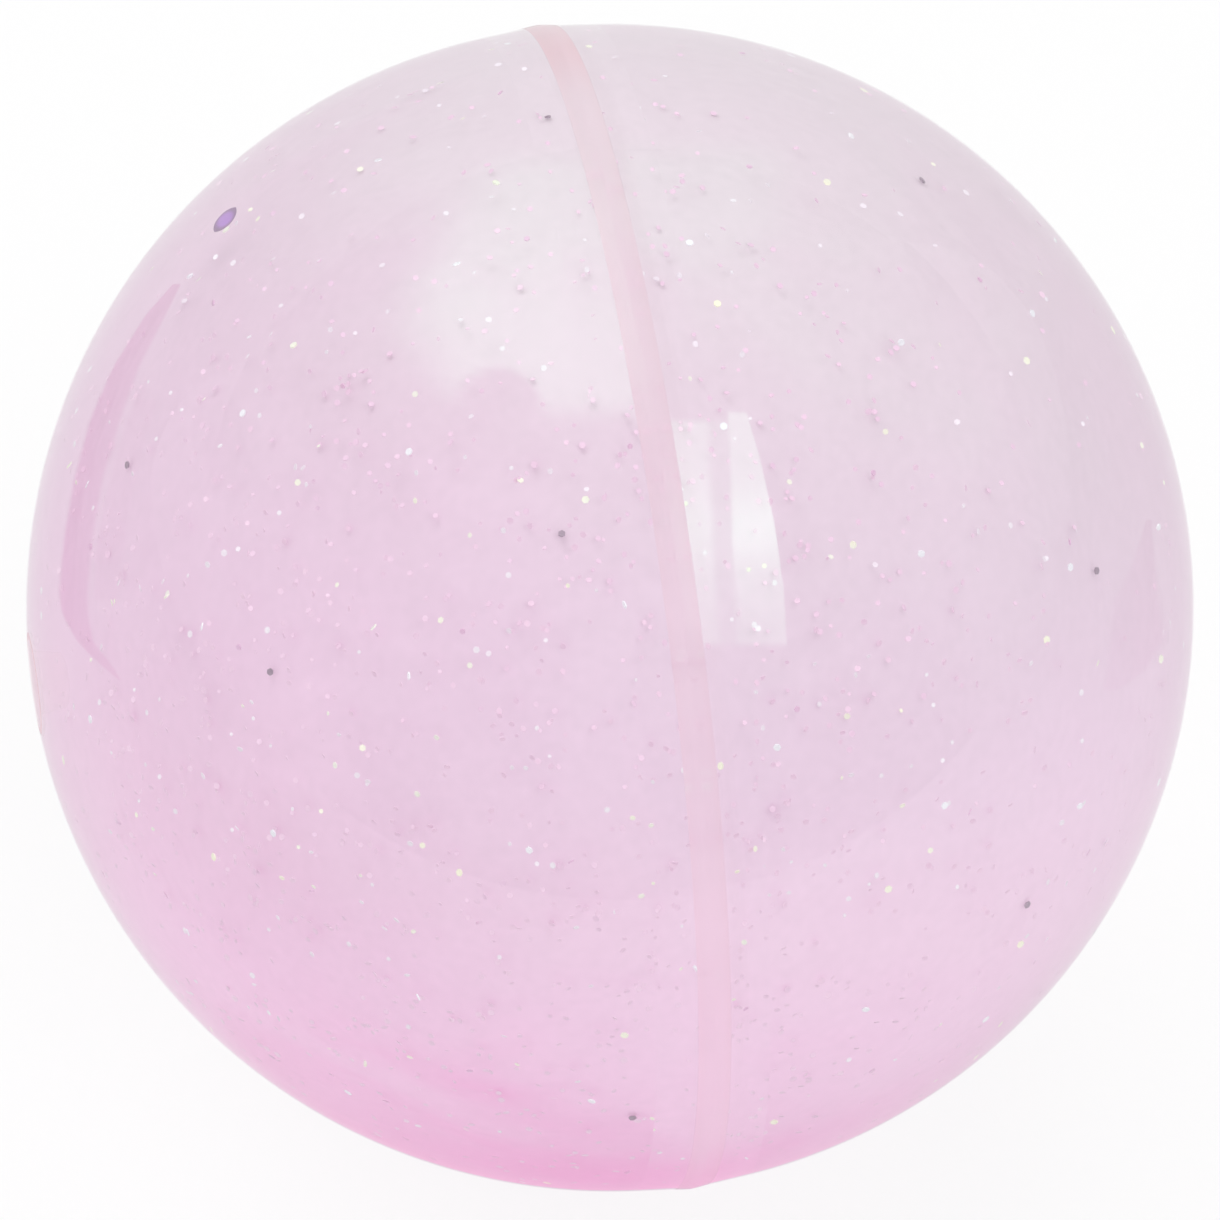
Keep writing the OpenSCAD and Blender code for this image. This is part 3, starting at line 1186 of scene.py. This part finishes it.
def windowPaint(column, row, across, down):
    w = window
    left = between(w["rows"], w["barLeft"], row)
    right = between(w["rows"], w["barRight"], row)
    leftBlur, rightBlur = w["barBlurs"]
    peak = math.exp(-((row - w["peakRow"]) / w["peakSpread"]) ** 2)
    peak *= w["rightPeak"] if column > right else w["leftPeak"]
    dim = w["lowDim"] * smoothStep(*w["lowRows"], row)
    dim += w["highDim"] * smoothStep(*w["highRows"], row)
    bar = smoothStep(left - leftBlur, left + leftBlur, column)
    bar *= smoothStep(right + rightBlur, right - rightBlur, column)
    level = w["level"] * (1 - dim + peak) * (1 - (1 - w["bar"]) * bar)
    cover = smoothStep(0, w["topEnd"], down) * smoothStep(1.0, w["lowEnd"], down)
    if column < right:
        cover *= smoothStep(w["leftTop"] - w["leftTopBlur"], w["leftTop"] + w["leftTopBlur"], row)
    return (*[level * c for c in cardLight], cover)


mirrorCard("window", window, windowPaint, steps=64)

# Painted shadow: dark sheets on the floor beside the ball, seen only in its mirror, stand in for
# the ball's own shadow there
leftShade = {
    "rows": (284, 315, 367, 419, 478, 536, 591, 614, 643, 663, 680),
    "leftColumns": (172, 144, 111, 88, 72, 62, 57, 60, 77, 98, 119),
    "rightColumns": (182, 168, 142, 124, 106, 96, 91, 91, 95, 112, 121),
    "colour": (0.62, 0.14, 0.40),
    "cover": 0.82,
}
innerShade = {
    "rows": (400, 450, 500, 550, 600),
    "leftColumns": (133, 116, 103, 95, 92),
    "rightColumns": (160, 146, 134, 126, 120),
    "colour": (0.62, 0.20, 0.42),
    "cover": 0.25,
}
rightShade = {
    "rows": (520, 570, 600, 640, 670, 690),
    "leftColumns": (1146, 1128, 1110, 1106, 1104, 1102),
    "rightColumns": (1152, 1158, 1164, 1170, 1150, 1120),
    "colour": (0.62, 0.25, 0.45),
    "cover": 0.35,
}


shadeEnds = (0.15, 0.8)          # shares of a shade's width between which it is full


# Each shade is a painted shadow lying on the floor, seen only in the ball's mirror
def addShade(name, shade):
    def paint(column, row, across, down):
        cover = smoothStep(0, shadeEnds[0], across) * smoothStep(1.0, shadeEnds[1], across)
        return (*shade["colour"], shade["cover"] * cover)

    mirrorCard(name, shade, paint)


addShade("leftShade", leftShade)
addShade("innerShade", innerShade)
addShade("rightShade", rightShade)

# What the rim mirrors: the grey of the room, and at the bottom the pink light that the ball
# throws on the floor
rimShade = {
    "shares": (0.92, 0.998),     # of the ball's radius in the frame
    "full": 0.975,
    "grey": (0.64, 0.60, 0.62),
    "pink": (1.25, 0.20, 0.74),
    "pinkAt": 90,                # degrees, clockwise from the right of the frame
    "pinkReach": 55,
    "cover": 0.34,
    "turns": 120,
    "steps": 10,
    "distance": 0.5,
    "aboveFloor": 0.5 * mm,
}


def rimCard():
    s = rimShade
    middleColumn, middleRow = cameraSetup["centrePixel"]
    start, end = s["shares"]
    wide = s["steps"] + 1
    vertices, colours, faces = [], [], []
    for turn in range(s["turns"]):
        angle = 2 * math.pi * turn / s["turns"]
        off = abs((math.degrees(angle) - s["pinkAt"] + 180) % 360 - 180)
        pink = smoothStep(s["pinkReach"], 0, off)
        colour = [grey + (rose - grey) * pink for grey, rose in zip(s["grey"], s["pink"])]
        for step in range(wide):
            share = start + (end - start) * step / s["steps"]
            out = share * cameraSetup["ballPixels"]
            column = middleColumn + out * math.cos(angle)
            row = middleRow + out * math.sin(angle)
            vertices.append(mirroredPlace(column, row, s["distance"], s["aboveFloor"]))
            colours.append((*colour, s["cover"] * smoothStep(start, s["full"], share)))
        following = (turn + 1) % s["turns"]
        for step in range(s["steps"]):
            first, after = turn * wide + step, following * wide + step
            faces.append([first, first + 1, after + 1, after])
    return glowCard("rimShade", vertices, colours, faces)


rimCard()

roomSetup = {
    "radius": 1.6, "halfWidth": 4.0, "backEdge": 27, "frontEdge": -10, "steps": 24, "level": 0.55,
    "fadeFrom": 0.2,             # share of the half width
}


# Dim wall and ceiling of the room, from the top of the backdrop over the ball to the front
def roomPanel():
    s = roomSetup
    start, end = math.radians(s["backEdge"]), math.radians(180 - s["frontEdge"])
    vertices, colours = [], []
    for step in range(s["steps"] + 1):
        angle = start + (end - start) * step / s["steps"]
        y, z = s["radius"] * math.cos(angle), s["radius"] * math.sin(angle)
        for across in range(s["steps"] + 1):
            place = 2 * across / s["steps"] - 1
            vertices.append((place * s["halfWidth"], y, z))
            colours.append((*[s["level"]] * 3, smoothStep(1.0, s["fadeFrom"], abs(place))))
    return glowCard("roomPanel", vertices, colours, gridFaces(s["steps"]))


roomPanel()

worldSetup = {"light": 0.85, "white": 1.0}


def addWorld():
    world = bpy.data.worlds.new("paleRoom")
    world.use_nodes = True
    nodes, links = world.node_tree.nodes, world.node_tree.links
    light = nodes["Background"]
    setInputs(light, {"Strength": worldSetup["light"], "Color": (1, 1, 1, 1)})
    shown = addNode(nodes, "ShaderNodeBackground")
    setInputs(shown, {"Strength": worldSetup["white"], "Color": (1, 1, 1, 1)})
    path = addNode(nodes, "ShaderNodeLightPath")
    seen = addNode(nodes, "ShaderNodeMath", operation="MAXIMUM")
    links.new(path.outputs["Is Camera Ray"], seen.inputs[0])
    links.new(path.outputs["Is Glossy Ray"], seen.inputs[1])
    through = addNode(nodes, "ShaderNodeMath", operation="MAXIMUM")
    links.new(seen.outputs[0], through.inputs[0])
    links.new(path.outputs["Is Transmission Ray"], through.inputs[1])
    mix = mixedShader(nodes, links, through.outputs[0], light, shown)
    links.new(mix.outputs[0], nodes["World Output"].inputs["Surface"])
    scene.world = world


addWorld()
print("stage lit")

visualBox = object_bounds()
boxes = {"cad": cadBox, "visual": visualBox}
{name: [list(corner) for corner in box] for name, box in boxes.items()}
